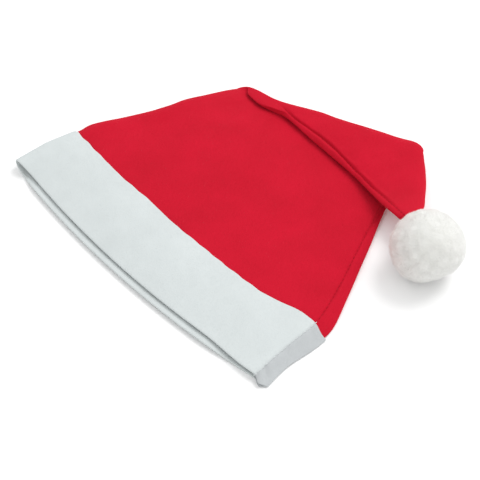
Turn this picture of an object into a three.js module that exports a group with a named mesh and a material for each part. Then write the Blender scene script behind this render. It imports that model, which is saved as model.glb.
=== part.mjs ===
// A felt santa hat lying flat on a surface, its tip folded over to one side.
// Millimetres. X runs along the brim, Y from the brim towards the fold, Z up from the surface.
import * as THREE from 'three';

// Sizes of the bag, which is two felt panels sewn together at both sides
const brimWidth = 270;       // outside width of the flattened bag at its opening
const crownDepth = 174;      // from the band's upper edge to the far corner of the fold
const flapReach = 0.704 * brimWidth;   // from the fold's left end to the neck of the tip
const flapRise = 0.293 * crownDepth;   // how far the fold's right end lies beyond its left end
const crownWall = 1.4;       // felt thickness of the bag
const bagLoft = 9.4;         // height of the two panels with the air between them
const foldHeightLeft = 11;   // height of the rounded fold at its left end
const foldHeightRight = 21;  // and at its right end
const flareLength = 7;       // how far the fold's right end spreads outwards as it turns over
const flapHeight = 20;       // height of the flap's upper face above the surface
const seamAllowance = 5;     // felt sewn together along the right side
const sideRound = 9;         // length over which the panels round off at each side
const roundShare = 0.4;      // most of a narrow row that the rounding at one side takes up
const solidWidth = 15;       // where the gathered bag is narrower than this it has no hollow
const brimBow = 11;          // how far the middle of the brim sags forward

// Sizes of the white band
const bandHeight = 56;
const bandWall = 1.5;
const hemTuck = 12;          // how far the bag's hem sits inside the band
const clearance = 0.3;       // gap between pieces that touch

// Sizes of the pompom
const pompomDiameter = 56;
const pompomSettle = 1.5;    // how much its underside is pressed flat
const neckLength = 6.5;      // from the flap's last row to the ball
const seatDepth = 2.5;       // how far the flat that the tip is sewn to lies inside the ball
const pompomBearing = -31;   // degrees, direction of the ball from the neck, seen from above
const lockCount = 90;
const lockRelief = 3.2;      // how far the locks stand out of the head
const lockTaper = 1.6;       // power by which a lock falls off from its middle to its edge
const lockVariety = 0.3;     // share by which the locks differ in length
const lengthPhase = 2.3;     // radians from one lock's length to the next one's
const lockLean = 1.6;        // how far a lock's end leans to one side
const leanPhase = 1.7;       // radians from one lock's lean to the next one's
const tipWidth = 14;         // width of the gathered tip where it meets the ball
const tipLoft = 8;           // and its height there

// How finely the bag is divided
const sideSteps = 3;         // steps round each rounded side, for each panel
const faceSteps = 8;         // steps across each panel between the sides
const rowSteps = 2;          // rows made for each row of a table
const foldSteps = 8;         // rows round the fold
const ballDetail = 11;       // how often each face of the ball's icosahedron is divided

// Rows of the bag inside the band. Rise is a share of bandHeight, left and right of half the
// brimWidth, bow of brimBow, and the three lofts of bagLoft at the left side, the middle and the
// right side.
const bandRows = [
  { rise: 0.00, left: -1.021, right: 1.016, bow: 1.00,
    loftLeft: 1.00, loftMiddle: 1.02, loftRight: 0.46 },
  { rise: 0.50, left: -1.009, right: 1.006, bow: 1.00,
    loftLeft: 1.02, loftMiddle: 1.00, loftRight: 0.46 },
  { rise: 1.00, left: -0.970, right: 1.008, bow: 1.05,
    loftLeft: 1.00, loftMiddle: 0.98, loftRight: 0.46 },
];

// Rows of the bag from the band to the fold. Rises are shares of crownDepth above the band, and
// left, right, bow and lofts as above. Lift is the share of the band's thickness that the row is
// raised by.
const bodyRows = [
  { left: -0.962, riseLeft: 0.069, right: 0.988, riseRight: 0.080, lift: 0.60, bow: 1.00,
    loftLeft: 1.05, loftMiddle: 0.98, loftRight: 0.46 },
  { left: -0.892, riseLeft: 0.190, right: 0.909, riseRight: 0.218, lift: 0.05, bow: 0.85,
    loftLeft: 1.10, loftMiddle: 1.00, loftRight: 0.46 },
  { left: -0.822, riseLeft: 0.305, right: 0.825, riseRight: 0.356, lift: 0.00, bow: 0.70,
    loftLeft: 1.12, loftMiddle: 1.00, loftRight: 0.46 },
  { left: -0.778, riseLeft: 0.402, right: 0.745, riseRight: 0.489, lift: 0.00, bow: 0.60,
    loftLeft: 1.10, loftMiddle: 0.98, loftRight: 0.48 },
  { left: -0.752, riseLeft: 0.483, right: 0.665, riseRight: 0.615, lift: 0.00, bow: 0.50,
    loftLeft: 1.02, loftMiddle: 0.94, loftRight: 0.50 },
  { left: -0.712, riseLeft: 0.565, right: 0.592, riseRight: 0.740, lift: 0.00, bow: 0.46,
    loftLeft: 0.84, loftMiddle: 0.88, loftRight: 0.54 },
  { left: -0.672, riseLeft: 0.634, right: 0.530, riseRight: 0.855, lift: 0.00, bow: 0.44,
    loftLeft: 0.64, loftMiddle: 0.82, loftRight: 0.62 },
  { left: -0.630, riseLeft: 0.692, right: 0.481, riseRight: 0.954, lift: 0.00, bow: 0.42,
    loftLeft: 0.48, loftMiddle: 0.70, loftRight: 0.74 },
];

// Rows of the flap from the fold to the neck. Along is a share of flapReach from the fold's left
// end, across a share of flapRise, for the lower side and the upper side of the flap. Tops are
// shares of flapHeight, lofts of bagLoft and bow of brimBow.
const flapRows = [
  { lowAlong: 0.085, lowAcross: -0.01, highAlong: 0.848, highAcross: 0.910, bow: 0.30,
    topLow: 0.62, topHigh: 1.04, loftLow: 0.50, loftMiddle: 0.74, loftHigh: 0.76 },
  { lowAlong: 0.165, lowAcross: -0.05, highAlong: 0.872, highAcross: 0.840, bow: 0.18,
    topLow: 0.70, topHigh: 1.02, loftLow: 0.54, loftMiddle: 0.80, loftHigh: 0.78 },
  { lowAlong: 0.246, lowAcross: 0.02, highAlong: 0.894, highAcross: 0.768, bow: 0.08,
    topLow: 0.75, topHigh: 1.01, loftLow: 0.58, loftMiddle: 0.84, loftHigh: 0.80 },
  { lowAlong: 0.330, lowAcross: 0.03, highAlong: 0.915, highAcross: 0.690, bow: 0.02,
    topLow: 0.79, topHigh: 1.01, loftLow: 0.60, loftMiddle: 0.86, loftHigh: 0.80 },
  { lowAlong: 0.450, lowAcross: -0.01, highAlong: 0.937, highAcross: 0.605, bow: 0.00,
    topLow: 0.80, topHigh: 1.03, loftLow: 0.60, loftMiddle: 0.86, loftHigh: 0.80 },
  { lowAlong: 0.580, lowAcross: -0.055, highAlong: 0.962, highAcross: 0.500, bow: 0.00,
    topLow: 0.83, topHigh: 1.07, loftLow: 0.62, loftMiddle: 0.86, loftHigh: 0.80 },
  { lowAlong: 0.700, lowAcross: -0.10, highAlong: 0.988, highAcross: 0.380, bow: 0.00,
    topLow: 0.88, topHigh: 1.13, loftLow: 0.64, loftMiddle: 0.86, loftHigh: 0.80 },
  { lowAlong: 0.810, lowAcross: -0.17, highAlong: 1.012, highAcross: 0.260, bow: 0.00,
    topLow: 0.97, topHigh: 1.20, loftLow: 0.68, loftMiddle: 0.86, loftHigh: 0.80 },
  { lowAlong: 0.900, lowAcross: -0.24, highAlong: 1.036, highAcross: 0.150, bow: 0.00,
    topLow: 1.10, topHigh: 1.28, loftLow: 0.72, loftMiddle: 0.86, loftHigh: 0.80 },
  { lowAlong: 1.005, lowAcross: -0.32, highAlong: 1.057, highAcross: 0.030, bow: 0.00,
    topLow: 1.32, topHigh: 1.36, loftLow: 0.80, loftMiddle: 0.88, loftHigh: 0.82 },
];

// Rows of the gathered tip. Go is a share of the way from the flap's last row to the flat on the
// ball, width of tipWidth and loft of tipLoft.
const tipRows = [
  { go: 0.40, width: 1.22, loft: 1.04 },
  { go: 0.75, width: 1.06, loft: 1.02 },
  { go: 1.00, width: 1.00, loft: 1.00 },
];

// Soft dents in the upper panel. Across is a share of half the brimWidth, rise of crownDepth above
// the band, radius of brimWidth and depth of bagLoft.
const dents = [
  { across: -0.64, rise: 0.29, radius: 0.055, depth: 0.12 },
  { across: -0.52, rise: 0.57, radius: 0.050, depth: 0.10 },
  { across: 0.28, rise: 0.55, radius: 0.070, depth: -0.10 },
];

const halfBrim = brimWidth / 2;
const bandStep = bandWall + clearance;

// Catmull-Rom blend of one column through four table values
function blend(a, b, c, d, t) {
  const slopeStart = (c - a) / 2;
  const slopeEnd = (d - b) / 2;
  const square = t * t;
  const cube = square * t;
  return b * (2 * cube - 3 * square + 1) + slopeStart * (cube - 2 * square + t)
    + c * (3 * square - 2 * cube) + slopeEnd * (cube - square);
}

// Finer rows between the rows that it is given, with every column and corner blended smoothly
function refineRows(rows, steps) {
  const finer = [];
  for (let i = 0; i < rows.length - 1; i += 1) {
    const before = rows[Math.max(i - 1, 0)];
    const after = rows[Math.min(i + 2, rows.length - 1)];
    const around = [before, rows[i], rows[i + 1], after];
    for (let step = 0; step < steps; step += 1) {
      finer.push(blendRow(around, step / steps));
    }
  }
  finer.push(rows[rows.length - 1]);
  return finer;
}

// One row between four others, with neither corner below the surface that the hat lies on
function blendRow(around, t) {
  const mix = (pick) => blend(...around.map(pick), t);
  const vector = (name) => new THREE.Vector3(
    mix((row) => row[name].x), mix((row) => row[name].y), mix((row) => row[name].z));
  const corner = (name) => {
    const place = vector(name);
    return place.setZ(Math.max(place.z, 0));
  };
  return {
    left: corner('left'),
    right: corner('right'),
    up: vector('up').normalize(),
    bow: mix((row) => row.bow),
    loft: [0, 1, 2].map((place) => mix((row) => row.loft[place])),
    dented: around[1].dented,
  };
}

// One row of the bag: the line under its two panels, the way up from it, and its three lofts
function makeRow(left, right, up, bow, loft, dented) {
  return { left, right, up, bow, loft: loft.map((share) => share * bagLoft), dented };
}

// A row inside the band at a height above the brim
function bandRow(height) {
  const rise = height / bandHeight;
  const next = Math.max(1, bandRows.findIndex((row) => row.rise >= rise));
  const low = bandRows[next - 1];
  const high = bandRows[next];
  const t = (rise - low.rise) / (high.rise - low.rise);
  const mix = (name) => low[name] + (high[name] - low[name]) * t;
  return makeRow(
    new THREE.Vector3(mix('left') * halfBrim, height, bandStep),
    new THREE.Vector3(mix('right') * halfBrim, height, bandStep),
    new THREE.Vector3(0, 0, 1), mix('bow') * brimBow,
    [mix('loftLeft'), mix('loftMiddle'), mix('loftRight')], false);
}

function bodyRow(row) {
  const rise = bandHeight;
  return makeRow(
    new THREE.Vector3(row.left * halfBrim, rise + row.riseLeft * crownDepth, row.lift * bandStep),
    new THREE.Vector3(row.right * halfBrim, rise + row.riseRight * crownDepth, row.lift * bandStep),
    new THREE.Vector3(0, 0, 1), row.bow * brimBow,
    [row.loftLeft, row.loftMiddle, row.loftRight], true);
}

// Rows round the fold: the line under the panels runs up and over an axis along the last body row
function foldRows(last) {
  const along = last.right.clone().sub(last.left).normalize();
  const outward = new THREE.Vector3(-along.y, along.x, 0);
  const rows = [];
  for (let step = 1; step <= foldSteps; step += 1) {
    const turn = Math.PI * step / foldSteps;
    const around = (corner, height) => corner.clone()
      .addScaledVector(outward, height / 2 * Math.sin(turn))
      .setZ(height / 2 * (1 - Math.cos(turn)));
    const up = outward.clone().multiplyScalar(-Math.sin(turn));
    up.z = Math.cos(turn);
    const flare = flareLength * (1 - Math.cos(turn)) / 2;
    rows.push({
      left: around(last.left, foldHeightLeft),
      right: around(last.right, foldHeightRight).addScaledVector(along, flare),
      up, bow: last.bow, loft: last.loft, dented: false,
    });
  }
  return rows;
}

function flapRow(row, start) {
  const place = (along, across, top) => new THREE.Vector3(
    start.x + along * flapReach, start.y + across * flapRise, top * flapHeight);
  return makeRow(
    place(row.lowAlong, row.lowAcross, row.topLow),
    place(row.highAlong, row.highAcross, row.topHigh),
    new THREE.Vector3(0, 0, -1), row.bow * brimBow,
    [row.loftLow, row.loftMiddle, row.loftHigh], false);
}

// The gathered tip: a few narrowing rows from the flap's last row to the flat on the ball
function gatheredRows(neck, ball) {
  const start = neckMiddle(neck);
  const way = ball.clone().sub(start);
  const reach = way.length() - pompomDiameter / 2 + seatDepth - clearance;
  way.normalize();
  const across = new THREE.Vector3(-way.y, way.x, 0).normalize();
  const up = way.clone().cross(across).negate();
  return tipRows.map(({ go, width, loft }) => {
    const height = loft * tipLoft;
    const middle = start.clone().addScaledVector(way, go * reach).addScaledVector(up, -height / 2);
    return {
      left: middle.clone().addScaledVector(across, -width * tipWidth / 2),
      right: middle.clone().addScaledVector(across, width * tipWidth / 2),
      up, bow: 0, loft: [height, height, height], dented: false,
    };
  });
}

function rowMiddle(row) {
  return row.left.clone().add(row.right).multiplyScalar(0.5);
}

// Middle of the flap's last row, halfway between its two panels
function neckMiddle(neck) {
  const start = rowMiddle(neck);
  start.z -= neck.loft[1] / 2;
  return start;
}

// How far the upper panel is pushed in at a place of the body
function dentDepth(x, y) {
  let depth = 0;
  for (const dent of dents) {
    const dx = x - dent.across * halfBrim;
    const dy = y - bandHeight - dent.rise * crownDepth;
    const spread = dent.radius * brimWidth;
    depth += dent.depth * bagLoft * Math.exp(-(dx * dx + dy * dy) / (spread * spread));
  }
  return depth;
}

// Loft of a row at a share of its length, through the left, middle and right values
function loftAt(loft, share) {
  const [left, middle, right] = loft;
  const square = share * share;
  return left + (4 * middle - 3 * left - right) * share + (2 * left + 2 * right - 4 * middle) * square;
}

// Shares across one panel: small steps where the side rounds off, even steps between
function panelShares() {
  const shares = [];
  for (let step = 0; step <= sideSteps; step += 1) {
    shares.push({ side: 'left', turn: Math.PI / 2 * step / sideSteps });
  }
  for (let step = 1; step < faceSteps; step += 1) {
    shares.push({ side: 'face', share: step / faceSteps });
  }
  for (let step = sideSteps; step >= 0; step -= 1) {
    shares.push({ side: 'right', turn: Math.PI / 2 * step / sideSteps });
  }
  return shares;
}

// The closed outline of a row, first the front panel from left to right, then the back panel from
// right to left. Inset moves it inwards from the bag's outer face, and outwards when negative.
function rowLoop(row, inset) {
  const line = row.right.clone().sub(row.left);
  const length = line.length();
  const along = line.normalize();
  const start = inset.left;
  const end = length - inset.right;
  const round = Math.min(sideRound - inset.face / 2, (end - start) * roundShare);
  const front = [];
  const back = [];
  for (const place of panelShares()) {
    let distance = start + round + (end - start - 2 * round) * (place.share ?? 0);
    let fullness = 1;
    if (place.side === 'left') {
      distance = start + round * (1 - Math.cos(place.turn));
      fullness = Math.sin(place.turn);
    } else if (place.side === 'right') {
      distance = end - round * (1 - Math.cos(place.turn));
      fullness = Math.sin(place.turn);
    }
    const share = distance / length;
    const loft = loftAt(row.loft, Math.min(Math.max(share, 0), 1));
    const base = row.left.clone().addScaledVector(along, distance);
    base.y -= row.bow * 4 * share * (1 - share);
    const dent = row.dented ? dentDepth(base.x, base.y) : 0;
    const middle = loft / 2;
    const half = (middle - inset.face) * fullness;
    front.push(base.clone().addScaledVector(row.up, middle + half - dent * fullness));
    back.push(base.clone().addScaledVector(row.up, middle - half));
  }
  return front.concat(back.slice(1, -1).reverse());
}

// Triangles between successive closed loops, with flat ends or an open wall
class Skin {
  constructor() {
    this.points = [];
    this.faces = [];
  }

  addLoop(loop) {
    const first = this.points.length;
    this.points.push(...loop);
    return loop.map((point, index) => first + index);
  }

  quad(a, b, c, d) {
    this.faces.push([a, b, c], [a, c, d]);
  }

  wall(loops, outward) {
    for (let i = 0; i < loops.length - 1; i += 1) {
      this.join(loops[i], loops[i + 1], outward);
    }
  }

  join(near, far, outward) {
    const count = near.length;
    for (let k = 0; k < count; k += 1) {
      const next = (k + 1) % count;
      if (outward) {
        this.quad(near[k], near[next], far[next], far[k]);
      } else {
        this.quad(near[next], near[k], far[k], far[next]);
      }
    }
  }

  // Closes a loop with strips between its two panels
  cap(loop, outward) {
    const count = loop.length;
    const half = count / 2;
    const tris = [[loop[0], loop[1], loop[count - 1]]];
    for (let k = 1; k < half - 1; k += 1) {
      tris.push([loop[k], loop[k + 1], loop[count - k]]);
      tris.push([loop[k + 1], loop[count - k - 1], loop[count - k]]);
    }
    tris.push([loop[half - 1], loop[half], loop[half + 1]]);
    this.faces.push(...tris.map((tri) => (outward ? tri : tri.reverse())));
  }

  geometry() {
    const geometry = new THREE.BufferGeometry();
    geometry.setFromPoints(this.points);
    geometry.setIndex(this.faces.flat());
    return geometry;
  }
}

// Every row of the bag from its hem inside the band to the tip inside the ball
function bagRows() {
  const body = bodyRows.map(bodyRow);
  const lower = [bandRow(bandHeight - hemTuck), bandRow(bandHeight), ...body];
  const fold = foldRows(body[body.length - 1]);
  const foldEnd = fold[fold.length - 1];
  const flap = flapRows.map((row) => flapRow(row, foldEnd.left));
  const neck = flap[flap.length - 1];
  const ball = pompomCentre(neck);
  const upper = [foldEnd, ...flap, ...gatheredRows(neck, ball)];
  return {
    lower: refineRows(lower, rowSteps).slice(0, -1),
    fold: [body[body.length - 1], ...fold.slice(0, -1)],
    upper: refineRows(upper, rowSteps),
    neck,
    ball,
  };
}

// Middle of the pompom, beyond the middle of the flap's last row
function pompomCentre(neck) {
  const bearing = pompomBearing * Math.PI / 180;
  const away = neckLength + pompomDiameter / 2;
  const start = rowMiddle(neck);
  return new THREE.Vector3(
    start.x + away * Math.cos(bearing),
    start.y + away * Math.sin(bearing),
    pompomDiameter / 2 - pompomSettle);
}

function crownGeometry() {
  const { lower, fold, upper } = bagRows();
  const rows = [...lower, ...fold, ...upper];
  const outerInset = { left: 0, right: 0, face: 0 };
  const innerInset = { left: crownWall, right: seamAllowance, face: crownWall };
  const skin = new Skin();
  const outer = rows.map((row) => skin.addLoop(rowLoop(row, outerInset)));
  const hollowRows = rows.filter((row) => row.right.distanceTo(row.left) > solidWidth);
  const inner = hollowRows.map((row) => skin.addLoop(rowLoop(row, innerInset)));
  skin.wall(outer, true);
  skin.wall(inner, false);
  skin.join(inner[0], outer[0], true);
  skin.cap(outer[outer.length - 1], true);
  skin.cap(inner[inner.length - 1], false);
  return skin.geometry();
}

function bandGeometry() {
  const innerInset = { left: -clearance, right: -clearance, face: -clearance };
  const outerInset = { left: -bandStep, right: -bandStep, face: -bandStep };
  const heights = [0, bandHeight / 2, bandHeight - hemTuck, bandHeight - hemTuck / 2, bandHeight];
  const rows = heights.map(bandRow);
  const skin = new Skin();
  const outer = rows.map((row) => skin.addLoop(rowLoop(row, outerInset)));
  const inner = rows.map((row) => skin.addLoop(rowLoop(row, innerInset)));
  skin.wall(outer, true);
  skin.wall(inner, false);
  skin.join(inner[0], outer[0], true);
  skin.join(outer[outer.length - 1], inner[inner.length - 1], true);
  return skin.geometry();
}

// Directions of the locks, spread evenly over the ball on a spiral
function lockWays() {
  const golden = Math.PI * (3 - Math.sqrt(5));
  return Array.from({ length: lockCount }, (_, index) => {
    const height = 1 - 2 * (index + 0.5) / lockCount;
    const ring = Math.sqrt(1 - height * height);
    return new THREE.Vector3(ring * Math.cos(golden * index), ring * Math.sin(golden * index), height);
  });
}

// The ball: a head whose surface rises into the nearest lock. It is pressed flat underneath, and
// has a flat where the tip is sewn on.
function pompomGeometry() {
  const { neck, ball } = bagRows();
  const radius = pompomDiameter / 2;
  const seat = neckMiddle(neck).sub(ball).normalize();
  const ways = lockWays();
  const geometry = new THREE.IcosahedronGeometry(1, ballDetail);
  const position = geometry.attributes.position;
  for (let i = 0; i < position.count; i += 1) {
    const out = new THREE.Vector3().fromBufferAttribute(position, i).normalize();
    const point = lockPoint(out, ways);
    const proud = point.dot(seat) - (radius - seatDepth);
    point.addScaledVector(seat, -Math.max(proud, 0)).add(ball);
    position.setXYZ(i, point.x, point.y, Math.max(point.z, 0));
  }
  return geometry;
}

// The surface of the head in one direction, raised and leant by the lock that is nearest
function lockPoint(out, ways) {
  const index = nearest(ways, out);
  const spread = Math.sqrt(4 / lockCount);
  const rise = 1 - Math.min(ways[index].distanceTo(out) / spread, 1) ** lockTaper;
  const length = 1 + lockVariety * Math.sin(lengthPhase * index);
  const head = pompomDiameter / 2 - lockRelief;
  const lean = new THREE.Vector3(0, 0, 1).cross(ways[index]);
  return out.clone()
    .multiplyScalar(head + lockRelief * rise * length)
    .addScaledVector(lean, lockLean * Math.sin(leanPhase * index) * rise);
}

function nearest(ways, out) {
  let best = 0;
  ways.forEach((way, index) => {
    if (way.distanceTo(out) < ways[best].distanceTo(out)) {
      best = index;
    }
  });
  return best;
}

function makeMesh(name, geometry, material) {
  geometry.computeVertexNormals();
  const mesh = new THREE.Mesh(geometry, material);
  mesh.name = name;
  return mesh;
}

const redFelt = new THREE.MeshStandardMaterial({ color: 0xd51e35, roughness: 0.95, metalness: 0 });
const whiteFelt = new THREE.MeshStandardMaterial({ color: 0xe2e7e9, roughness: 0.9, metalness: 0 });
const whitePlush = new THREE.MeshStandardMaterial({ color: 0xe8e8e5, roughness: 1, metalness: 0 });

const hat = new THREE.Group();
hat.add(makeMesh('crown', crownGeometry(), redFelt));
hat.add(makeMesh('band', bandGeometry(), whiteFelt));
hat.add(makeMesh('pompom', pompomGeometry(), whitePlush));

// The whole hat is centred over the origin, resting on the surface
const extent = new THREE.Box3().setFromObject(hat);
const middle = extent.getCenter(new THREE.Vector3());
hat.position.set(-middle.x, -middle.y, -extent.min.z);

export default hat;
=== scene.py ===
# %% [markdown]
# # A felt santa hat, lying flat
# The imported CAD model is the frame: every size and place below comes from it. The hat has three
# soft pieces, the red bag, the white band and the plush pompom, and each one is made here again,
# finer and softer, in the space that its plain solid holds.

import math

import bmesh
import bpy
import numpy as np
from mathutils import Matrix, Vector


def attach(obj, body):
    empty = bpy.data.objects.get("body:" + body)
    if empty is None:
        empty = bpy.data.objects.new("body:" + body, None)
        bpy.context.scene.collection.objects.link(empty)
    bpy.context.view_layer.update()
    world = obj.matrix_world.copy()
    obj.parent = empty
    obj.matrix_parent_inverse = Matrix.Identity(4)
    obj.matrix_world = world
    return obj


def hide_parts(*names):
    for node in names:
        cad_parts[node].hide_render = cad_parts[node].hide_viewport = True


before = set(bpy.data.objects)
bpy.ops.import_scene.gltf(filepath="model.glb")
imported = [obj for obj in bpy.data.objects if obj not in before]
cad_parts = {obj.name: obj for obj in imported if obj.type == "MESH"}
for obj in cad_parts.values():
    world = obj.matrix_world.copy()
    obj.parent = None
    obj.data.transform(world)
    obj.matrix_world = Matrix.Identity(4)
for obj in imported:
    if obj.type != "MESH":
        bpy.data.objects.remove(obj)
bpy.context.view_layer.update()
MM = 0.001
print("frame nodes:", sorted(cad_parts))

# %% [markdown]
# The picture is taken from the front right, halfway between a side view and a top view. The camera
# is placed by its azimuth, elevation and distance from a point on the floor, because those three
# numbers are what a photographer would note. A long lens keeps the far side nearly as large as the
# near one.

# %% Place the camera
CAMERA_AZIMUTH = math.radians(46.7)
CAMERA_ELEVATION = math.radians(50)
CAMERA_DISTANCE = 997.9 * MM
CAMERA_TARGET = Vector((16.74, -34.74, 0)) * MM
CAMERA_ANGLE = math.radians(20)


def add_camera():
    reach = math.cos(CAMERA_ELEVATION)
    aside, back = math.sin(CAMERA_AZIMUTH) * reach, -math.cos(CAMERA_AZIMUTH) * reach
    way = Vector((aside, back, math.sin(CAMERA_ELEVATION)))
    data = bpy.data.cameras.new("camera")
    data.sensor_width = 36
    data.angle = CAMERA_ANGLE
    data.clip_end = 20
    camera = bpy.data.objects.new("camera", data)
    camera.location = CAMERA_TARGET + way * CAMERA_DISTANCE
    camera.rotation_euler = (-way).to_track_quat("-Z", "Y").to_euler()
    bpy.context.scene.collection.objects.link(camera)
    bpy.context.scene.camera = camera
    return camera


print("camera at", [round(c, 3) for c in add_camera().location])

# %% [markdown]
# The bag is two flat felt panels sewn together at both sides. It is made as a loft: a table gives
# the left and right corner of one row after another, from the hem inside the band, over the fold,
# to the gathered tip. The sizes and tables start from those that the solids were made with, and a
# few, such as the fold's and the flap's, are set nearer to the photograph. All of them are in
# millimetres or shares of a named size.

# %% Sizes of the hat
BRIM_WIDTH = 270
CROWN_DEPTH = 174
FLAP_REACH = 0.704 * BRIM_WIDTH
FLAP_RISE = 0.293 * CROWN_DEPTH
CROWN_WALL = 1.4
BAG_LOFT = 9.4
FOLD_HEIGHT_LEFT = 9.5
FOLD_HEIGHT_RIGHT = 21
FLARE_LENGTH = 11.5
TUCK_LENGTH = 10
FOLD_ROUND = 22
FLAP_HEIGHT = 20
SEAM_ALLOWANCE = 5
SIDE_ROUND = 9
ROUND_SHARE = 0.4
SOLID_WIDTH = 15
BRIM_BOW = 11
BAND_HEIGHT = 56
BAND_WALL = 1.5
HEM_TUCK = 12
CLEARANCE = 0.3
POMPOM_DIAMETER = 56
POMPOM_SETTLE = 1.5
NECK_LENGTH = 7.8
SEAT_DEPTH = 2.5
POMPOM_BEARING = math.radians(-28.5)
TIP_WIDTH = 14
TIP_LOFT = 8
HALF_BRIM = BRIM_WIDTH / 2
BAND_STEP = BAND_WALL + CLEARANCE

# %% Rows of the bag
# Rise, left, right, bow, loft left, loft middle, loft right
BAND_ROWS = [
    (0.00, -1.021, 1.016, 1.00, 1.00, 1.02, 0.46),
    (0.50, -1.009, 1.006, 1.00, 1.02, 1.00, 0.46),
    (1.00, -0.970, 1.008, 1.05, 1.00, 0.98, 0.46),
]
# Left, rise left, right, rise right, lift, bow, loft left, loft middle, loft right
BODY_ROWS = [
    (-0.962, 0.069, 0.988, 0.080, 0.60, 1.00, 1.05, 0.98, 0.46),
    (-0.892, 0.190, 0.909, 0.218, 0.05, 0.85, 1.10, 1.00, 0.46),
    (-0.822, 0.305, 0.825, 0.356, 0.00, 0.70, 1.12, 1.00, 0.46),
    (-0.778, 0.402, 0.745, 0.489, 0.00, 0.60, 1.10, 0.98, 0.48),
    (-0.752, 0.483, 0.665, 0.615, 0.00, 0.50, 1.02, 0.94, 0.50),
    (-0.712, 0.565, 0.592, 0.740, 0.00, 0.46, 0.84, 0.88, 0.54),
    (-0.672, 0.652, 0.530, 0.857, 0.00, 0.38, 0.64, 0.82, 0.62),
    (-0.630, 0.722, 0.464, 0.957, 0.00, 0.30, 0.46, 0.70, 0.74),
]
# Low along, low across, high along, high across, bow, top low, top high, loft low, middle, high
FLAP_ROWS = [
    (0.085, 0.057, 0.852, 0.910, 0.30, 0.50, 1.04, 0.38, 0.70, 0.76),
    (0.165, 0.055, 0.872, 0.840, 0.18, 0.56, 1.02, 0.38, 0.74, 0.78),
    (0.246, 0.058, 0.894, 0.768, 0.08, 0.60, 1.01, 0.38, 0.78, 0.80),
    (0.330, 0.058, 0.915, 0.690, 0.02, 0.62, 1.01, 0.38, 0.80, 0.80),
    (0.450, 0.040, 0.937, 0.605, 0.00, 0.62, 1.03, 0.38, 0.80, 0.80),
    (0.580, 0.009, 0.962, 0.500, 0.00, 0.62, 1.07, 0.40, 0.80, 0.80),
    (0.700, -0.032, 0.988, 0.380, 0.00, 0.64, 1.13, 0.44, 0.80, 0.80),
    (0.810, -0.116, 1.012, 0.260, 0.00, 0.74, 1.20, 0.50, 0.82, 0.80),
    (0.900, -0.214, 1.036, 0.150, 0.00, 0.95, 1.28, 0.58, 0.84, 0.80),
    (1.005, -0.320, 1.057, 0.030, 0.00, 1.30, 1.36, 0.78, 0.88, 0.82),
]
# The flap's rows are measured from here, near the left end of the fold
FLAP_START = (-0.630 * HALF_BRIM, BAND_HEIGHT + 0.692 * CROWN_DEPTH)
# Place along the brim and how far the flap's loose edge is pulled there, in millimetres
EDGE_PULL = [(-85, 0.0), (-69, 0.0), (-54, -2.7), (-38, 2.0), (-22, 1.7), (0, 0.0), (150, 0.0)]
PULL_REACH = 14
# The fold is dented this deep, at this share of its length from the left
FOLD_DENT, FOLD_DENT_SHARE, FOLD_DENT_WIDTH = 4.4, 0.22, 0.13
# Go, width, loft
TIP_ROWS = [(0.40, 1.22, 1.04), (0.75, 1.06, 1.02), (1.00, 1.00, 1.00)]
# Across, rise, radius, depth
DENTS = [(-0.64, 0.29, 0.055, 0.12), (-0.52, 0.57, 0.050, 0.10), (0.28, 0.55, 0.070, -0.10)]
print("rows in the tables:", len(BAND_ROWS) + len(BODY_ROWS) + len(FLAP_ROWS) + len(TIP_ROWS))

# %% [markdown]
# One row is kept as 14 numbers: its left corner, right corner and way up, then its bow, its three
# lofts and whether dents reach it. As plain numbers the rows can all be blended at once, and a
# Catmull-Rom blend passes through every row of the table without a kink.

# %% Turn the tables into rows
UP, DOWN = (0, 0, 1), (0, 0, -1)


def make_row(left, right, up, bow, loft, dented):
    return np.array([*left, *right, *up, bow, *(share * BAG_LOFT for share in loft), dented], float)


def band_row(height):
    rise = min(max(height / BAND_HEIGHT, 0), 1)
    table = np.array(BAND_ROWS)
    left, right, bow, *loft = (np.interp(rise, table[:, 0], table[:, k]) for k in range(1, 7))
    corners = ((left * HALF_BRIM, height, BAND_STEP), (right * HALF_BRIM, height, BAND_STEP))
    return make_row(*corners, UP, bow * BRIM_BOW, loft, 0)


def body_row(left, rise_left, right, rise_right, lift, bow, *loft):
    corners = (
        (left * HALF_BRIM, BAND_HEIGHT + rise_left * CROWN_DEPTH, lift * BAND_STEP),
        (right * HALF_BRIM, BAND_HEIGHT + rise_right * CROWN_DEPTH, lift * BAND_STEP),
    )
    return make_row(*corners, UP, bow * BRIM_BOW, loft, 1)


def flap_row(start, low_along, low_across, high_along, high_across, bow, top_low, top_high, *loft):
    def place(along, across, top):
        return (start[0] + along * FLAP_REACH, start[1] + across * FLAP_RISE, top * FLAP_HEIGHT)
    low, high = place(low_along, low_across, top_low), place(high_along, high_across, top_high)
    return make_row(low, high, DOWN, bow * BRIM_BOW, loft, 0)


def fold_rows(last, steps):
    """Rows of half a turn round the fold. The left end is tucked in on the way up and the right end
    reaches out, most of it in the last steps."""
    left, right = last[0:3], last[3:6]
    along = (right - left) / np.linalg.norm(right - left)
    outward = np.array((-along[1], along[0], 0))
    rows = []
    for step in range(1, steps + 1):
        turn = math.pi * step / steps
        row = last.copy()
        for slot, corner, height in ((0, left, FOLD_HEIGHT_LEFT), (3, right, FOLD_HEIGHT_RIGHT)):
            row[slot:slot + 3] = corner + outward * height / 2 * math.sin(turn)
            row[slot + 2] = height / 2 * (1 - math.cos(turn))
        row[0:3] += along * TUCK_LENGTH * (1 - math.cos(turn)) / 2
        row[3:6] += along * FLARE_LENGTH * ((1 - math.cos(turn)) / 2) ** 3
        row[6:9] = -outward * math.sin(turn) + np.array((0, 0, math.cos(turn)))
        row[13] = 0
        rows.append(row)
    return rows


# %% [markdown]
# The tip is gathered: three short rows lead from the flap's last row to the flat on the ball. The
# ball's middle lies beyond that row, in the direction that the tip points.

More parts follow.
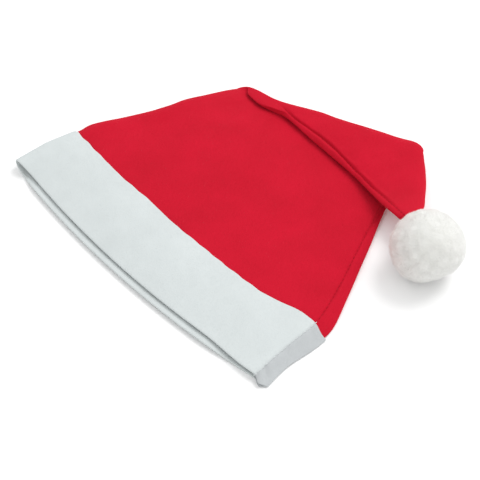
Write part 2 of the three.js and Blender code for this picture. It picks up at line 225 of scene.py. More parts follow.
# %% Rows of the gathered tip
def neck_middle(neck):
    middle = (neck[0:3] + neck[3:6]) / 2
    return middle - np.array((0, 0, neck[11] / 2))


def pompom_centre(neck):
    away = NECK_LENGTH + POMPOM_DIAMETER / 2
    start = (neck[0:3] + neck[3:6]) / 2
    return np.array((
        start[0] + away * math.cos(POMPOM_BEARING),
        start[1] + away * math.sin(POMPOM_BEARING),
        POMPOM_DIAMETER / 2 - POMPOM_SETTLE))


def gathered_rows(neck, ball):
    start = neck_middle(neck)
    way = ball - start
    reach = np.linalg.norm(way) - POMPOM_DIAMETER / 2 + SEAT_DEPTH - CLEARANCE
    way = way / np.linalg.norm(way)
    across = np.array((-way[1], way[0], 0))
    across = across / np.linalg.norm(across)
    up = -np.cross(way, across)
    rows = []
    for go, width, loft in TIP_ROWS:
        height = loft * TIP_LOFT
        middle = start + way * go * reach - up * height / 2
        half = across * width * TIP_WIDTH / 2
        rows.append(make_row(middle - half, middle + half, up, 0, [height / BAG_LOFT] * 3, 0))
    return rows


# %% Blend the rows finely
def blend(a, b, c, d, t):
    start, end, square, cube = (c - a) / 2, (d - b) / 2, t * t, t * t * t
    return (b * (2 * cube - 3 * square + 1) + start * (cube - 2 * square + t)
            + c * (3 * square - 2 * cube) + end * (cube - square))


def refine(rows, steps):
    finer = []
    for i in range(len(rows) - 1):
        around = rows[max(i - 1, 0)], rows[i], rows[i + 1], rows[min(i + 2, len(rows) - 1)]
        for step in range(steps):
            row = blend(*around, step / steps)
            row[6:9] /= np.linalg.norm(row[6:9])
            row[[2, 5]] = np.maximum(row[[2, 5]], 0)
            finer.append(row)
    return finer + [rows[-1]]


ROW_STEPS, FOLD_STEPS = 8, 24
body = [body_row(*values) for values in BODY_ROWS]
turned = fold_rows(body[-1], FOLD_STEPS)
flap = [flap_row(FLAP_START, *values) for values in FLAP_ROWS]
BALL = pompom_centre(flap[-1])
lower = refine([band_row(BAND_HEIGHT - HEM_TUCK), band_row(BAND_HEIGHT), *body], ROW_STEPS)
upper = refine([turned[-1], *flap, *gathered_rows(flap[-1], BALL)], ROW_STEPS)
BAG_ROWS = np.array(lower + turned[:-1] + upper)
# How far each row is turned over: 0 on the body, 1 on the flap
TURNED = np.concatenate([
    np.zeros(len(lower)), np.arange(1, FOLD_STEPS) / FOLD_STEPS, np.ones(len(upper))])
# How near each row is to the fold: its left end is rounded off over a longer way there
FOLD_SPREAD = 0.8
from_fold = np.arange(len(BAG_ROWS)) - len(lower) - FOLD_STEPS / 2
near_fold = np.exp(-(from_fold / (FOLD_SPREAD * FOLD_STEPS)) ** 2)
print("fine rows:", len(BAG_ROWS), "ball at", BALL.round(1))

# %% [markdown]
# Around each row the loop runs over the front panel from left to right and back over the back
# panel. Both sides round off over a few millimetres. The same function makes the outer face, the
# inner face one felt thickness further in, and the band, which lies outside the bag.

# %% Points around the rows
def loft_at(loft, share):
    left, middle, right = loft[:, 0:1], loft[:, 1:2], loft[:, 2:3]
    return (left + (4 * middle - 3 * left - right) * share
            + (2 * left + 2 * right - 4 * middle) * share * share)


def dent_depth(x, y):
    depth = np.zeros_like(x)
    for across, rise, radius, deep in DENTS:
        dx = x - across * HALF_BRIM
        dy = y - BAND_HEIGHT - rise * CROWN_DEPTH
        depth += deep * BAG_LOFT * np.exp(-(dx * dx + dy * dy) / (radius * BRIM_WIDTH) ** 2)
    return depth


# How much closer the points lie near the two sides, where the seams are: 0 is evenly spaced
FINER_SIDES = 0.8


def panel_grid(rows, left, right, face, side_steps, face_steps, left_round=SIDE_ROUND):
    """Where the points of one panel lie on each row: their distance from its left corner, how full
    the panel is there, and the point under them."""
    line = rows[:, 3:6] - rows[:, 0:3]
    length = np.linalg.norm(line, axis=1)[:, None]
    end = length - right
    near, far = (np.minimum(np.reshape(size, (-1, 1)) - face / 2, (end - left) * ROUND_SHARE)
                 for size in (left_round, SIDE_ROUND))
    turn = np.linspace(0, math.pi / 2, side_steps + 1)[None, :]
    step = np.arange(1, face_steps)[None, :] / face_steps
    lead, share = 1 - np.cos(turn), step - FINER_SIDES * np.sin(2 * math.pi * step) / (2 * math.pi)
    distance = np.concatenate([
        left + near * lead,
        left + near + (end - left - near - far) * share,
        end - far * lead[:, ::-1]], axis=1)
    full = np.concatenate([np.sin(turn), np.ones_like(share), np.sin(turn)[:, ::-1]], axis=1)
    full = np.repeat(full, len(rows), axis=0)
    share = distance / length
    base = rows[:, None, 0:3] + line[:, None, :] * share[:, :, None]
    base[:, :, 1] -= rows[:, 9:10] * 4 * share * (1 - share)
    loft = loft_at(rows[:, 10:13], np.clip(share, 0, 1))
    return {"distance": distance, "rest": length - distance, "share": share, "full": full,
            "base": base, "loft": loft}


def panel_points(rows, grid, face, front_relief, back_relief):
    middle = grid["loft"] / 2
    half = (middle - face) * grid["full"]
    dent = rows[:, 13:14] * dent_depth(grid["base"][:, :, 0], grid["base"][:, :, 1])
    up = rows[:, None, 6:9]
    front = grid["base"] + up * (middle + half + (front_relief - dent) * grid["full"])[:, :, None]
    back = grid["base"] + up * (middle - half - back_relief * grid["full"])[:, :, None]
    return front, back


def around(front, back):
    """One closed loop per row: along the front panel and back along the back panel."""
    return np.concatenate([front, back[:, -2:0:-1]], axis=1)


# %% [markdown]
# Real felt is never quite even. A wave function adds up a few sine waves whose directions and
# phases come from a fixed seed, so the sheet undulates in the same way on every run.

# %% Relief of the felt
def wave(x, y, length, seed):
    """A soft random relief from -1 to 1, with bumps about this many millimetres long."""
    draws = np.random.RandomState(seed)
    total = np.zeros(np.broadcast(x, y).shape)
    count = 7
    for _ in range(count):
        angle, phase, stretch = draws.uniform(0, 2 * math.pi, 2).tolist() + [draws.uniform(0.7, 1.4)]
        along = x * math.cos(angle) + y * math.sin(angle)
        total += np.sin(along * 2 * math.pi / (length * stretch) + phase)
    return total / math.sqrt(count)


def waves(x, y, table):
    return sum(height * wave(x, y, length, seed) for height, length, seed in table)


def groove(distance, place, width):
    return np.exp(-((distance - place) / width) ** 2)


def ramp(value, start, end):
    t = np.clip((value - start) / (end - start), 0, 1)
    return t * t * (3 - 2 * t)


def along_table(table, value):
    """A value read from a table of places and values, with its corners smoothed over 8 mm."""
    table = np.array(table, float)
    return sum(np.interp(value + shift, table[:, 0], table[:, 1]) for shift in (-4, 0, 4)) / 3


# %% Seams and relief of the bag
BAG_SIDE_STEPS, BAG_FACE_STEPS = 16, 58
# Distance of the right seam from the bag's right side at some places from the brim
BODY_SEAM = [(56, 10.6), (68, 10.8), (80, 9.6), (98, 8.4), (122, 7.2), (145, 6.0), (159, 4.6),
             (180, 3.6)]
# Where the flap's seam runs: its place along the brim and from it
FLAP_SEAM = [(-46, 187.5), (-36, 186.1), (-20, 184.2), (-6.6, 184.2), (4, 183.9), (18, 183.4),
             (38, 180.2), (59, 176.2), (85, 170.7), (106, 163.7), (120, 159.5)]
SEAM_WIDTH, BODY_SEAM_DEPTH, FLAP_SEAM_DEPTH = 0.85, 0.8, 2.0
FLAP_SEAM_START, FLAP_SEAM_RAMP = -34, (-42, -32)
# Beyond the body's seam the felt sinks in this deep on its way under the flap
POCKET_DEPTH, POCKET_ACROSS, POCKET_ALONG = 2.6, (-1.4, 0.2), (138, 162)
# Height, length and seed of the waves in the felt and of the puckers beside a seam
FELT_WAVES, SEAM_PUCKERS, PUCKER_WIDTH = [(0.30, 46, 3), (0.13, 17, 4)], [(0.22, 8, 5)], 5
# Height, distance from the seam and width of the roll that the seam allowance makes
BODY_ROLL, FLAP_ROLL = (0.4, -3, 2), (0.8, -3.2, 2.2)
# The relief fades out on the narrow rows near the tip
RELIEF_ROWS = (16, 45)


def bag_grid(which, left, right, face):
    """The grid of some rows of the bag. The flap's loose edge is pulled out of its straight line,
    and the fold is dented."""
    rows, over, near = BAG_ROWS[which], TURNED[which, None], near_fold[which, None]
    round_off = SIDE_ROUND + (FOLD_ROUND - SIDE_ROUND) * near
    grid = panel_grid(rows, left, right, face, BAG_SIDE_STEPS, BAG_FACE_STEPS, round_off)
    pull = along_table(EDGE_PULL, rows[:, 0:1]) * np.exp(-(grid["distance"] / PULL_REACH) ** 2)
    dent = FOLD_DENT * near * groove(grid["share"], FOLD_DENT_SHARE, FOLD_DENT_WIDTH)
    grid["base"][:, :, 1] += over * pull - dent
    return grid


def body_seam_gap(grid):
    return grid["rest"] - along_table(BODY_SEAM, grid["base"][:, :, 1])


def flap_seam_gap(grid):
    return grid["base"][:, :, 1] - along_table(FLAP_SEAM, grid["base"][:, :, 0])


def seam_relief(gap, puckers, roll, depth):
    height, place, width = roll
    beside = puckers * groove(gap, 0, PUCKER_WIDTH) + height * groove(gap, place, width)
    return beside - depth * groove(gap, 0, SEAM_WIDTH)


def bag_relief(rows, grid, over):
    """How far the front and the back panel stand out. Only the side that shows has a seam."""
    x, y = grid["base"][:, :, 0], grid["base"][:, :, 1]
    over = over[:, None]
    wide = ramp(np.linalg.norm(rows[:, 3:6] - rows[:, 0:3], axis=1)[:, None], *RELIEF_ROWS)
    soft, puckers = waves(x, y, FELT_WAVES), waves(x, y, SEAM_PUCKERS)
    gap = body_seam_gap(grid)
    front = soft + seam_relief(gap, puckers, BODY_ROLL, BODY_SEAM_DEPTH)
    front -= POCKET_DEPTH * (1 - ramp(gap, *POCKET_ACROSS)) * ramp(y, *POCKET_ALONG)
    begun = ramp(x, *FLAP_SEAM_RAMP)
    back = soft + begun * seam_relief(flap_seam_gap(grid), puckers, FLAP_ROLL, FLAP_SEAM_DEPTH)
    return (1 - over) * wide * front, over * wide * back


print("seam places in the tables:", len(BODY_SEAM), "and", len(FLAP_SEAM))

# %% [markdown]
# A skin collects loops of points and joins them with quads. The outer wall, the inner wall, the
# strip between them at the brim and the two small ends make one closed shell, so the felt has a
# real thickness and the mesh is a solid.

# %% Press the right end down
# Place of the band's right end at some places from the brim
RIGHT_END = [(0, 139.0), (28, 137.6), (56, 138.0), (68, 135.4), (90, 124.6)]
# Width of the pressed strip, the share of its height that is left, and where on the bag it ends
SEAM_STRIP, STRIP_LEFT, STRIP_ENDS = 11.5, 0.2, (BAND_HEIGHT + 4, BAND_HEIGHT + 34)


def pressed(points):
    """Points in millimetres, pressed down to the floor beyond the seam at the right end."""
    inward = along_table(RIGHT_END, points[:, 1]) - points[:, 0]
    kept = STRIP_LEFT + (1 - STRIP_LEFT) * np.clip(inward / SEAM_STRIP, 0, 1)
    near = 1 - ramp(points[:, 1], *STRIP_ENDS)
    low = points.copy()
    low[:, 2] *= 1 - near * (1 - kept)
    return low


# %% Join loops into a shell
class Skin:
    def __init__(self):
        self.points, self.faces, self.marks = [], [], {"nap": [], "painted_shade": []}

    def loops(self, points, nap=0.0, painted_shade=0.0):
        """Add closed loops. Nap says where fuzz stands; the last mark says where the dye gets painted
        shade.
        """
        start = sum(len(block) for block in self.points)
        self.points.append(points.reshape(-1, 3))
        for name, value in (("nap", nap), ("painted_shade", painted_shade)):
            self.marks[name].append(np.broadcast_to(value, points.shape[:2]).ravel())
        return start + np.arange(points.shape[0] * points.shape[1]).reshape(points.shape[:2])

    def wall(self, loops, outward):
        near, far = loops[:-1], loops[1:]
        corners = [near, np.roll(near, -1, 1), np.roll(far, -1, 1), far]
        quads = np.stack(corners, axis=-1).reshape(-1, 4)
        self.faces += (quads if outward else quads[:, ::-1]).tolist()

    def cap(self, loop, outward):
        count = len(loop)
        tris = [(loop[0], loop[1], loop[-1])]
        for k in range(1, count // 2 - 1):
            tris.append((loop[k], loop[k + 1], loop[count - k - 1], loop[count - k]))
        tris.append((loop[count // 2 - 1], loop[count // 2], loop[count // 2 + 1]))
        self.faces += [[int(i) for i in (tri if outward else tri[::-1])] for tri in tris]

    def object(self, name, shift):
        mesh = bpy.data.meshes.new(name)
        points = (pressed(np.concatenate(self.points)) + shift) * MM
        mesh.from_pydata(points.tolist(), [], self.faces)
        for mark, values in self.marks.items():
            layer = mesh.attributes.new(mark, "FLOAT", "POINT")
            layer.data.foreach_set("value", np.concatenate(values).astype(np.float32))
        mesh.polygons.foreach_set("use_smooth", [True] * len(mesh.polygons))
        made = bpy.data.objects.new(name, mesh)
        bpy.context.scene.collection.objects.link(made)
        return made


# The CAD centres the whole hat over the origin, so the rows are shifted by as much
TO_ROW = np.array((-14.262, -109.935, 0))


def describe(piece):
    triangles = sum(len(face.vertices) - 2 for face in piece.data.polygons)
    corners = np.array([v.co for v in piece.data.vertices]) / MM
    print(piece.name, triangles, "triangles", corners.min(0).round(1), corners.max(0).round(1))


# %% Make the bag
def crossing(points, gap):
    """The place on each row where the gap to a seam passes zero."""
    line = []
    for row, value in zip(points, gap):
        change = np.flatnonzero(value[:-1] * value[1:] <= 0)
        if len(change):
            k = change[0]
            t = value[k] / (value[k] - value[k + 1])
            line.append(row[k] * (1 - t) + row[k + 1] * t)
    return np.array(line)


def make_bag():
    skin = Skin()
    grid = bag_grid(slice(None), 0, 0, 0)
    front, back = panel_points(BAG_ROWS, grid, 0, *bag_relief(BAG_ROWS, grid, TURNED))
    seen = np.ones(front.shape[:2])
    nap = np.concatenate([seen * (1 - TURNED)[:, None], (seen * TURNED[:, None])[:, -2:0:-1]], axis=1)
    outer = skin.loops(around(front, back), nap)
    flat, over = TURNED == 0, TURNED == 1
    seams = {"body_stitches": crossing(front[flat], body_seam_gap(grid)[flat]),
             "flap_stitches": crossing(back[over], flap_seam_gap(grid)[over])}
    seams["flap_stitches"] = seams["flap_stitches"][seams["flap_stitches"][:, 0] > FLAP_SEAM_START]
    widths = np.linalg.norm(BAG_ROWS[:, 3:6] - BAG_ROWS[:, 0:3], axis=1)
    inside = slice(0, int(np.argmax(widths <= SOLID_WIDTH)), 2)
    hollow, over = BAG_ROWS[inside], TURNED[inside]
    grid = bag_grid(inside, CROWN_WALL, SEAM_ALLOWANCE, CROWN_WALL)
    inner = skin.loops(around(*panel_points(hollow, grid, CROWN_WALL, *bag_relief(hollow, grid, over))))
    skin.wall(outer, True)
    skin.wall(inner, False)
    skin.wall(np.stack([inner[0], outer[0]]), True)
    skin.cap(outer[-1], True)
    skin.cap(inner[-1], False)
    return skin.object("crown_felt", TO_ROW), seams


crown_felt, seam_lines = make_bag()
describe(crown_felt)

# %% [markdown]
# The band is one strip of thicker white felt, joined into a ring and slipped over the hem of the
# bag. Its upper edge wanders a little, which shows most near the right end where it stands up over
# the bag. At the seam on the right the strip turns down to the floor in a flat slope, and it is
# puckered by the stitching at the lower corner.

# %% Make the band
BAND_SIDE_STEPS, BAND_FACE_STEPS, BAND_RISES = 12, 96, 40
# Place along the brim and how far the upper edge lies beyond the plain curve, in millimetres
EDGE_WANDER = [(-140, -4.5), (-125, -3.6), (-95, -2.4), (-69, -1.8), (-36, 0.1), (2, -0.4),
               (35, -0.2), (70, -0.9), (84, -0.6), (93, 0.8), (101, 2.6), (110, 4.0), (118, 4.6),
               (126, 2.8), (138, 0.0)]
# Place from the brim and how far the right end lies beyond the plain one there
END_WANDER = [(0, -0.6), (8, -1.6), (20, -2.4), (32, -1.0), (44, 0.2), (56, 0.0)]
BAND_WAVES, BAND_SEAM_DEPTH, RAGGED = [(0.22, 60, 11), (0.08, 14, 12)], 0.9, (0.35, 13, 14)
# The front panel droops to this height at the brim, from this share of the band's height on
LIP_HEIGHT, LIP_REACH, LIP_RETREAT = 4.6, 0.76, 3.5
# The back panel curls up and forward under it
CURL, CURL_REACH, CURL_FORWARD = 2.5, 0.4, 1.5
# The strip at the right end is puckered, longer at its lower corner and cut off there
PUCKER, CORNER_GROWTH, CORNER_CUT = 0.9, 3.6, 2.6


def band_loops(heights, face):
    """Loops of the band, which part of each lies beyond the seam, and the seam's line."""
    rows = np.array([band_row(height) for height in heights])
    grid = panel_grid(rows, face, face, face, BAND_SIDE_STEPS, BAND_FACE_STEPS)
    x, y = grid["base"][:, :, 0], grid["base"][:, :, 1]
    level = np.array(heights)[:, None] / BAND_HEIGHT
    end = grid["rest"] - face
    beyond = 1 - ramp(end, SEAM_STRIP - 1, SEAM_STRIP + 1)
    puckers = beyond * (1 - 0.7 * ramp(level, 0.15, 0.7))
    relief = waves(x, y, BAND_WAVES) - BAND_SEAM_DEPTH * groove(end, SEAM_STRIP, 0.8)
    front, back = panel_points(rows, grid, face, relief, np.zeros_like(relief))
    lip = np.clip(1 - level / LIP_REACH, 0, 1) ** 1.4 * ramp(grid["distance"], 1, 18)
    front[:, :, 2] -= lip * grid["full"] * (BAND_STEP + grid["loft"] - LIP_HEIGHT)
    front[:, :, 1] += lip * LIP_RETREAT * ramp(grid["rest"], 12, 60)
    front[:, :, 2] += PUCKER * puckers * ramp(end, 0, 5) * wave(0.5 * x, y, 8, 13)
    curl = (1 - ramp(level, 0, CURL_REACH)) * ramp(grid["distance"], 4, 30) * ramp(grid["rest"], 12, 60)
    back[:, :, 2] += CURL * curl
    back[:, :, 1] -= CURL_FORWARD * curl
    for panel in (front, back):
        panel[:, :, 0] += along_table(END_WANDER, y) * (1 - ramp(end, 0, SEAM_STRIP))
        ragged = along_table(EDGE_WANDER, panel[:, :, 0]) + waves(panel[:, :, 0], 0, [RAGGED])
        panel[:, :, 1] += ragged * level ** 3
        panel[:, :, 1] -= CORNER_GROWTH * (1 - ramp(end, 4, SEAM_STRIP)) * (1 - level) ** 8
        panel[:, :, 1] += CORNER_CUT * (1 - ramp(end, 0, 5)) * (1 - level) ** 14
        panel[:, :, 2] = np.maximum(panel[:, :, 2], 0)
    return around(front, back), around(beyond, beyond), crossing(front, end - SEAM_STRIP)


def band_wall(heights, insets):
    """The loops of one wall of the band. Each height has its own inset, so that the edges are round."""
    parts = [band_loops([height], inset) for height, inset in zip(heights, insets)]
    return [np.concatenate(kind) for kind in zip(*parts)]


def make_band():
    skin = Skin()
    middle = -(BAND_STEP + CLEARANCE) / 2
    lip = BAND_WALL / 2
    rises = np.linspace(1.4, BAND_HEIGHT - 1.4, BAND_RISES)
    heights = np.concatenate([[0.0, 0.4], rises, [BAND_HEIGHT - 0.4, BAND_HEIGHT]])
    insets = np.full(len(heights), -BAND_STEP)
    insets[[0, -1]] = middle - lip * 0.5
    insets[[1, -2]] = middle - lip * 0.88
    points, beyond, seam = band_wall(heights, insets)
    # Beyond the seam the band's end strip is marked for painted shade in the dye
    outer = skin.loops(points, 1.0, beyond)
    points, beyond, _ = band_wall(heights, 2 * middle - insets)
    inner = skin.loops(points, 0.0, beyond)
    skin.wall(outer, True)
    skin.wall(inner, False)
    skin.wall(np.stack([inner[0], outer[0]]), True)
    skin.wall(np.stack([outer[-1], inner[-1]]), True)
    return skin.object("band_felt", TO_ROW), seam


band_felt, seam_lines["band_stitches"] = make_band()
describe(band_felt)

# %% [markdown]
# The pompom is a ball of plush: a soft head under a short pile. The head is an icosphere whose
# points are moved out into the nearest lock, as in the solid, but lower by the length of the pile.
# Each point also remembers which way its lock leans, and the pile reads that later.

# %% Make the pompom's head
LOCK_COUNT, LOCK_RELIEF, LOCK_TAPER, LOCK_VARIETY = 90, 0.7, 1.6, 0.3
LENGTH_PHASE, LOCK_LEAN, LEAN_PHASE = 2.3, 1.0, 1.7
PILE_ROOM, HEAD_FLOOR, TOWARD_LOCK, STRAY = 2.0, 0.4, 1.1, 0.08
# Directions and heights, in millimetres, of the broad lumps and flats that handling has left
LUMPS = [((0.77, -0.22, -0.60), -3.6, 0.5), ((-0.95, -0.60, 0.05), 0.6, 0.35),
         ((-0.2, -0.9, -0.4), 0.6, 0.45), ((0.2, -0.25, 0.95), 0.8, 0.6),
         ((0.75, 0.5, 0.3), 0.6, 0.5), ((-0.62, -0.3, 0.7), -1.2, 0.3),
         ((0.5, -0.8, 0.35), 0.8, 0.35), ((0.1, 0.4, 0.9), -0.7, 0.35)]


def lock_ways():
    """Directions of the locks, spread evenly over the ball on a spiral."""
    index = np.arange(LOCK_COUNT)
    height = 1 - 2 * (index + 0.5) / LOCK_COUNT
    ring, turn = np.sqrt(1 - height * height), math.pi * (3 - math.sqrt(5)) * index
    return np.stack([ring * np.cos(turn), ring * np.sin(turn), height], axis=1)


def head_points(out):
    """The head's points in some directions, and the way of the lock that each one belongs to."""
    ways = lock_ways()
    gaps = np.linalg.norm(out[:, None, :] - ways[None, :, :], axis=2)
    index = gaps.argmin(axis=1)
    rise = 1 - np.minimum(gaps.min(axis=1) / math.sqrt(4 / LOCK_COUNT), 1) ** LOCK_TAPER
    length = 1 + LOCK_VARIETY * np.sin(LENGTH_PHASE * index)
    side = np.cross((0, 0, 1), ways[index]) * (LOCK_LEAN * np.sin(LEAN_PHASE * index))[:, None]
    radius = POMPOM_DIAMETER / 2 - LOCK_RELIEF - PILE_ROOM + LOCK_RELIEF * rise * length
    for way, high, spread in LUMPS:
        way = np.array(way) / np.linalg.norm(way)
        radius += high * np.exp(-(((out - way) ** 2).sum(1)) / spread ** 2)
    return out * radius[:, None] + side * rise[:, None], ways[index]


def make_head():
    bm = bmesh.new()
    bmesh.ops.create_icosphere(bm, subdivisions=6, radius=1)
    mesh = bpy.data.meshes.new("pompom_head")
    bm.to_mesh(mesh)
    bm.free()
    out = np.array([v.co for v in mesh.vertices], float)
    out /= np.linalg.norm(out, axis=1)[:, None]
    points, ways = head_points(out)
    seat = neck_middle(flap[-1]) - BALL
    seat /= np.linalg.norm(seat)
    proud = points @ seat - (POMPOM_DIAMETER / 2 - SEAT_DEPTH)
    points -= seat * np.maximum(proud, 0)[:, None]
    points += BALL + TO_ROW
    points[:, 2] = np.maximum(points[:, 2], HEAD_FLOOR)
    mesh.vertices.foreach_set("co", (points * MM).astype(np.float32).ravel())
    lean = mesh.attributes.new("lean", "FLOAT_VECTOR", "POINT")
    toward = (ways - out) * TOWARD_LOCK + np.random.RandomState(21).normal(0, STRAY, out.shape)
    lean.data.foreach_set("vector", toward.astype(np.float32).ravel())
    mesh.attributes.new("nap", "FLOAT", "POINT").data.foreach_set("value", [1.0] * len(out))
    mesh.polygons.foreach_set("use_smooth", [True] * len(mesh.polygons))
    made = bpy.data.objects.new("pompom_head", mesh)
    bpy.context.scene.collection.objects.link(made)
    return made


pompom_head = make_head()
describe(pompom_head)

# %% [markdown]
# Three materials cover the hat: red felt, white felt and white plush. Felt is a mat of tangled
# fibres, so its colour is mottled at two scales and its surface is broken up by tiny fibres that
# run every way. One node group makes both effects for all of the materials. It puts out a shade
# between 0 and 1 and a height for the Bump node, and each material sets its own scales. Two small
# functions add sockets and nodes, so that each node of a tree is one call that names what feeds it.

# %% Shared fibre group
def socket(tree, name, kind, default=None, into=True):
    way, kind = "INPUT" if into else "OUTPUT", "NodeSocket" + kind
    made = tree.interface.new_socket(name, in_out=way, socket_type=kind)
    if default is not None:
        made.default_value = default


def feed(tree, node, feeds):
    """Give some of a node's inputs a link, where another node's socket is given, or a value."""
    for place, value in feeds.items():
        if isinstance(value, bpy.types.NodeSocket):
            tree.links.new(value, node.inputs[place])
        else:
            node.inputs[place].default_value = value


def add_node(tree, kind, feeds=None, **settings):
    made = tree.nodes.new(kind)
    for key, value in settings.items():
        setattr(made, key, value)
    feed(tree, made, feeds or {})
    return made


def fibre_group():
    """Mottled shade and fibre height of a matted cloth."""
    group = bpy.data.node_groups.new("matted_fibres", "ShaderNodeTree")
    socket(group, "Vector", "Vector")
    for name, default in (("Cloud Scale", 40.0), ("Fibre Scale", 900.0), ("Fibre Share", 0.35)):
        socket(group, name, "Float", default)
    for name in ("Shade", "Height"):
        socket(group, name, "Float", into=False)
    given = add_node(group, "NodeGroupInput").outputs
    coarse = add_node(group, "ShaderNodeMath", {0: given["Fibre Scale"], 1: 0.35}, operation="MULTIPLY")
    clouds, fibres, swirl = (
        add_node(group, "ShaderNodeTexNoise", {
            "Vector": given["Vector"], "Scale": scale, "Detail": detail, "Distortion": distortion})
        for scale, detail, distortion in (
            (given["Cloud Scale"], 4, 0), (given["Fibre Scale"], 3, 1.6), (coarse.outputs[0], 1, 3.0)))
    height = add_node(group, "ShaderNodeMath", {0: fibres.outputs["Fac"], 1: swirl.outputs["Fac"]},
                      operation="ADD")
    shade = add_node(group, "ShaderNodeMix", {
        "Factor": given["Fibre Share"], "A": clouds.outputs["Fac"], "B": fibres.outputs["Fac"]})
    add_node(group, "NodeGroupOutput", {"Shade": shade.outputs["Result"], "Height": height.outputs[0]})
    return group


FIBRES = fibre_group()
print("fibre group sockets:", [s.name for s in FIBRES.interface.items_tree])

# %% [markdown]
# Each felt takes its colour from a ramp over the mottled shade, so it stays close to one dye but is
# never flat. On the band's end beyond the seam, where the strip slopes away from the light, painted
# shade darkens the dye. The sheen of loose surface fibres is set on the shader's own sockets.

# %% Felt and plush materials
# Painted shade: what the dye is multiplied by on the band's end strip, which slopes away from the light
PAINTED_STRIP_SHADE = (0.79, 0.775, 0.79, 1)
DYE_STOPS, ROUGHNESS = (0.3, 0.7), (0.86, 0.96)


def linear(red, green, blue):
    def one(value):
        value /= 255
        return value / 12.92 if value <= 0.04045 else ((value + 0.055) / 1.055) ** 2.4
    return (one(red), one(green), one(blue), 1)


def felt(name, dark, light, cloud_scale, fibre_scale, share, bump, sheen, tint, soft=0.0):
    material = bpy.data.materials.new(name)
    material.use_nodes = True
    tree = material.node_tree
    place = add_node(tree, "ShaderNodeTexCoord")
    mat = add_node(tree, "ShaderNodeGroup", {
        "Vector": place.outputs["Object"], "Cloud Scale": cloud_scale, "Fibre Scale": fibre_scale,
        "Fibre Share": share}, node_tree=FIBRES).outputs
    dye = add_node(tree, "ShaderNodeValToRGB", {"Fac": mat["Shade"]})
    for stop, position, color in zip(dye.color_ramp.elements, DYE_STOPS, (dark, light)):
        stop.position, stop.color = position, color
    # Painted shade: the mark read here darkens the dye of the band's end strip, which slopes away from
    # the light
    painted_shade = add_node(tree, "ShaderNodeAttribute", attribute_name="painted_shade")
    shaded_dye = add_node(tree, "ShaderNodeMix", {
        "Factor": painted_shade.outputs["Fac"], "A": dye.outputs["Color"], "B": PAINTED_STRIP_SHADE},
        data_type="RGBA", blend_type="MULTIPLY")
    rough = add_node(tree, "ShaderNodeMapRange", {
        "Value": mat["Shade"], "To Min": ROUGHNESS[0], "To Max": ROUGHNESS[1]})
    relief = add_node(tree, "ShaderNodeBump", {
        "Height": mat["Height"], "Distance": bump * MM, "Strength": 0.6})
    feed(tree, tree.nodes["Principled BSDF"], {
        "Base Color": shaded_dye.outputs["Result"], "Roughness": rough.outputs["Result"],
        "Normal": relief.outputs["Normal"], "Specular IOR Level": 0.15,
        "Sheen Weight": sheen, "Sheen Roughness": 0.6, "Sheen Tint": tint,
        "Subsurface Weight": soft, "Subsurface Scale": 4 * MM, "Subsurface Radius": (1, 1, 1)})
    return material


RED_FELT = felt("felt_red", linear(180, 11, 35), linear(195, 16, 43), 38, 1100, 0.45, 0.35,
                0.06, linear(255, 90, 110))
WHITE_FELT = felt("felt_white", linear(196, 202, 202), linear(204, 210, 210), 45, 1200, 0.4, 0.25,
                  0.05, linear(250, 252, 255))
WHITE_PLUSH = felt("plush_white", linear(230, 230, 227), linear(237, 237, 234), 90, 900, 0.4, 0.4,
                   0.1, linear(255, 255, 252), 0.7)
crown_felt.data.materials.append(RED_FELT)
band_felt.data.materials.append(WHITE_FELT)
pompom_head.data.materials.append(WHITE_PLUSH)
print("materials:", [m.name for m in (RED_FELT, WHITE_FELT, WHITE_PLUSH)])

# %% [markdown]
# The pile of the pompom and the fuzz of the felt are thousands of short fibres standing on a
# surface. Geometry Nodes scatters points on the faces, puts one tapered fibre on each, turned along
# the surface's normal plus a lean, and makes them one mesh. The fibre itself has only a few faces.

# %% Fibre shape
def fibre_mesh(name, bend, rings):
    """One tapered three-sided fibre of unit length along Z, bent over a little."""
    points, faces = [], []
    for high, width in rings:
        for corner in range(3):
            turn = 2 * math.pi * corner / 3
            across = width * math.cos(turn) / 2 + bend * high * high
            points.append((across, width * math.sin(turn) / 2, high))
    points.append((bend, 0, 1))
    top = 3 * (len(rings) - 1)
    for corner in range(3):
        after = (corner + 1) % 3
        for low in range(0, top, 3):
            faces.append((low + corner, low + after, low + 3 + after, low + 3 + corner))
        faces.append((top + corner, top + after, top + 3))
    faces.append((2, 1, 0))
    mesh = bpy.data.meshes.new(name)
    mesh.from_pydata(points, [], faces)
    return bpy.data.objects.new(name, mesh)


PLUSH_FIBRE = fibre_mesh("plush_fibre", 4.0, [(0.0, 1.0), (0.5, 0.85)])
FUZZ_FIBRE = fibre_mesh("fuzz_fibre", 3.0, [(0.0, 1.0)])
for shape in (PLUSH_FIBRE, FUZZ_FIBRE):
    print(shape.name, len(shape.data.polygons), "faces")

# %% Tree that covers a surface with fibres
def new_tree(name, inputs):
    """An empty Geometry Nodes tree, the sockets of its inputs, and a function that adds a node to it
    and gives the node's outputs."""
    tree = bpy.data.node_groups.new(name, "GeometryNodeTree")
    for label, kind, default in [("Geometry", "Geometry", None), *inputs]:
        socket(tree, label, kind, default)
    socket(tree, "Geometry", "Geometry", into=False)

    def node(kind, feeds=None, **settings):
        return add_node(tree, kind, feeds, **settings).outputs

    return tree, node("NodeGroupInput"), node


def end_tree(tree, instances, material):
    """Make the instances one mesh, give it its material and send it out."""
    real = add_node(tree, "GeometryNodeRealizeInstances", {"Geometry": instances})
    paint = add_node(tree, "GeometryNodeSetMaterial", {
        "Geometry": real.outputs["Geometry"], "Material": material})
    add_node(tree, "NodeGroupOutput", {"Geometry": paint.outputs["Geometry"]})
    return tree


